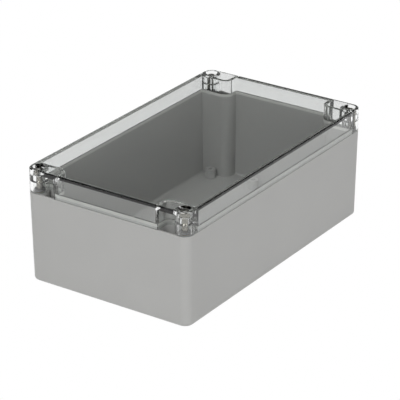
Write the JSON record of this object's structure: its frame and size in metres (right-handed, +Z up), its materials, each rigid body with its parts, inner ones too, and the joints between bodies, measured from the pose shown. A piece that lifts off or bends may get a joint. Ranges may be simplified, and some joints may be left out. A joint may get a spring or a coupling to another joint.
{
  "type": "sealed polycarbonate enclosure",
  "caption": "Rectangular sealed electronics box with a drafted grey base, a clear lid held by captive corner screws, a seal ring inside the screws, mounting wells and floor bosses.",
  "frame": {"origin": "middle of the underside of the base, where it stands on a surface", "axes": "+X along the length, +Y across the width, +Z up through the clear lid"},
  "size_m": [0.2, 0.12, 0.076],
  "materials": {
    "base_plastic": "fine matt moulded grey polycarbonate",
    "clear_polycarbonate": "clear polished polycarbonate",
    "silicone": "pale grey silicone",
    "stainless_steel": "plain stainless steel",
    "retainer_plastic": "dark nylon",
    "insert_brass": "machined brass"
  },
  "bodies": {
    "box": {"base": "base_plastic", "threaded_insert_front_left": "insert_brass", "threaded_insert_front_right": "insert_brass", "threaded_insert_back_left": "insert_brass", "threaded_insert_back_right": "insert_brass"},
    "lid": {"lid": "clear_polycarbonate", "gasket": "silicone"},
    "retainer_front_left": {"screw_retainer_front_left": "retainer_plastic"},
    "screw_front_left": {"lid_screw_front_left": "stainless_steel"},
    "retainer_front_right": {"screw_retainer_front_right": "retainer_plastic"},
    "screw_front_right": {"lid_screw_front_right": "stainless_steel"},
    "retainer_back_left": {"screw_retainer_back_left": "retainer_plastic"},
    "screw_back_left": {"lid_screw_back_left": "stainless_steel"},
    "retainer_back_right": {"screw_retainer_back_right": "retainer_plastic"},
    "screw_back_right": {"lid_screw_back_right": "stainless_steel"}
  },
  "joints": [
    {"name": "lid_lift", "type": "slide", "parent": "box", "child": "lid", "axis": [0, 0, 1], "range_m": [0, 0.1]},
    {"name": "screw_rise_front_left", "type": "slide", "parent": "lid", "child": "retainer_front_left", "axis": [0, 0, 1], "range_m": [0, 0.0049]},
    {"name": "screw_turn_front_left", "type": "hinge", "parent": "retainer_front_left", "child": "screw_front_left", "pos_m": [-0.094, -0.054, 0.0743], "axis": [0, 0, 1], "range_deg": [0, 2520]},
    {"name": "screw_rise_front_right", "type": "slide", "parent": "lid", "child": "retainer_front_right", "axis": [0, 0, 1], "range_m": [0, 0.0049]},
    {"name": "screw_turn_front_right", "type": "hinge", "parent": "retainer_front_right", "child": "screw_front_right", "pos_m": [0.094, -0.054, 0.0743], "axis": [0, 0, 1], "range_deg": [0, 2520]},
    {"name": "screw_rise_back_left", "type": "slide", "parent": "lid", "child": "retainer_back_left", "axis": [0, 0, 1], "range_m": [0, 0.0049]},
    {"name": "screw_turn_back_left", "type": "hinge", "parent": "retainer_back_left", "child": "screw_back_left", "pos_m": [-0.094, 0.054, 0.0743], "axis": [0, 0, 1], "range_deg": [0, 2520]},
    {"name": "screw_rise_back_right", "type": "slide", "parent": "lid", "child": "retainer_back_right", "axis": [0, 0, 1], "range_m": [0, 0.0049]},
    {"name": "screw_turn_back_right", "type": "hinge", "parent": "retainer_back_right", "child": "screw_back_right", "pos_m": [0.094, 0.054, 0.0743], "axis": [0, 0, 1], "range_deg": [0, 2520]}
  ],
  "couplings": [
    {"joint": "screw_turn_front_left", "follows": "screw_rise_front_left", "rad_per_m": 8976},
    {"joint": "screw_turn_front_right", "follows": "screw_rise_front_right", "rad_per_m": 8976},
    {"joint": "screw_turn_back_left", "follows": "screw_rise_back_left", "rad_per_m": 8976},
    {"joint": "screw_turn_back_right", "follows": "screw_rise_back_right", "rad_per_m": 8976}
  ]
}
